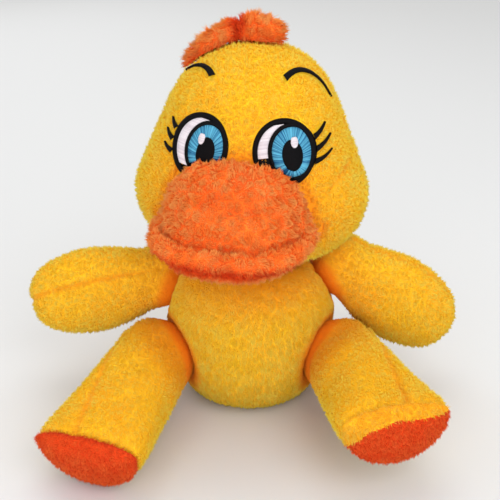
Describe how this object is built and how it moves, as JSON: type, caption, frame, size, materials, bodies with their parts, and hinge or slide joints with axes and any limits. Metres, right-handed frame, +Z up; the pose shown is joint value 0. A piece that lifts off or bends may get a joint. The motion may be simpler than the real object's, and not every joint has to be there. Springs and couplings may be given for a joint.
{
  "type": "plush duckling",
  "caption": "Sitting plush duckling with a broad soft bill, a folded crest and embroidered eyes; head, arms and legs swing on stuffed roots and spring back.",
  "frame": {"origin": "middle of the flat seat, on the surface that the toy sits on", "axes": "+Z up, the toy faces -Y, +X towards its own left arm"},
  "size_m": [0.2482, 0.1668, 0.2208],
  "materials": {
    "yellow_pile": "short brushed pile",
    "orange_pile": "curly pile",
    "sole_pile": "short pile",
    "fibre_fill": "loose polyester fibre",
    "pellet_cloth": "plain woven",
    "black_thread": "satin stitch",
    "white_thread": "satin stitch",
    "blue_thread": "satin stitch"
  },
  "bodies": {
    "body": {"body_back_left_panel": "yellow_pile", "body_back_right_panel": "yellow_pile", "body_front_panel": "yellow_pile", "body_stuffing": "fibre_fill", "seat_pellet_bag": "pellet_cloth"},
    "neck": {"neck_wad": "fibre_fill"},
    "head": {"bill_stuffing": "fibre_fill", "crest_front_lobe": "orange_pile", "crest_side_lobe": "orange_pile", "head_back_left_panel": "yellow_pile", "head_back_right_panel": "yellow_pile", "head_face_panel": "yellow_pile", "head_stuffing": "fibre_fill", "left_brow": "black_thread", "left_eye_glint": "white_thread", "left_eye_iris": "blue_thread", "left_eye_outline": "black_thread", "left_eye_pupil": "black_thread", "left_eye_white": "white_thread", "left_lash_lower": "black_thread", "left_lash_middle": "black_thread", "left_lash_upper": "black_thread", "lower_bill": "orange_pile", "right_brow": "black_thread", "right_eye_glint": "white_thread", "right_eye_iris": "blue_thread", "right_eye_outline": "black_thread", "right_eye_pupil": "black_thread", "right_eye_white": "white_thread", "right_lash_lower": "black_thread", "right_lash_middle": "black_thread", "right_lash_upper": "black_thread", "upper_bill_cover": "orange_pile"},
    "left_arm": {"left_arm_back_panel": "yellow_pile", "left_arm_front_panel": "yellow_pile", "left_arm_stuffing": "fibre_fill"},
    "right_arm": {"right_arm_back_panel": "yellow_pile", "right_arm_front_panel": "yellow_pile", "right_arm_stuffing": "fibre_fill"},
    "left_leg": {"left_leg_inner_panel": "yellow_pile", "left_leg_outer_panel": "yellow_pile", "left_leg_stuffing": "fibre_fill", "left_sole": "sole_pile"},
    "right_leg": {"right_leg_inner_panel": "yellow_pile", "right_leg_outer_panel": "yellow_pile", "right_leg_stuffing": "fibre_fill", "right_sole": "sole_pile"}
  },
  "joints": [
    {"name": "head_turn", "type": "hinge", "parent": "body", "child": "neck", "pos_m": [0, 0, 0.086], "axis": [0, 0, 1], "range_deg": [-15, 35], "stiffness_Nm_per_rad": 0.3},
    {"name": "head_nod", "type": "hinge", "parent": "neck", "child": "head", "pos_m": [0, 0, 0.086], "axis": [0.9848, -0.1736, 0], "range_deg": [-6, 6], "stiffness_Nm_per_rad": 0.6},
    {"name": "left_arm_swing", "type": "hinge", "parent": "body", "child": "left_arm", "pos_m": [0.053, 0.0055, 0.0765], "axis": [0, -1, 0], "range_deg": [-1, 45], "stiffness_Nm_per_rad": 0.15},
    {"name": "right_arm_swing", "type": "hinge", "parent": "body", "child": "right_arm", "pos_m": [-0.053, 0.0055, 0.0685], "axis": [0, 1, 0], "range_deg": [-10, 30], "stiffness_Nm_per_rad": 0.15},
    {"name": "left_leg_swing", "type": "hinge", "parent": "body", "child": "left_leg", "pos_m": [0.0523, -0.0235, 0.0305], "axis": [-0.9728, -0.2317, 0], "range_deg": [-30, 6], "stiffness_Nm_per_rad": 0.3},
    {"name": "right_leg_swing", "type": "hinge", "parent": "body", "child": "right_leg", "pos_m": [-0.0542, -0.0235, 0.0305], "axis": [-0.9455, 0.3256, 0], "range_deg": [-30, 20], "stiffness_Nm_per_rad": 0.3}
  ]
}
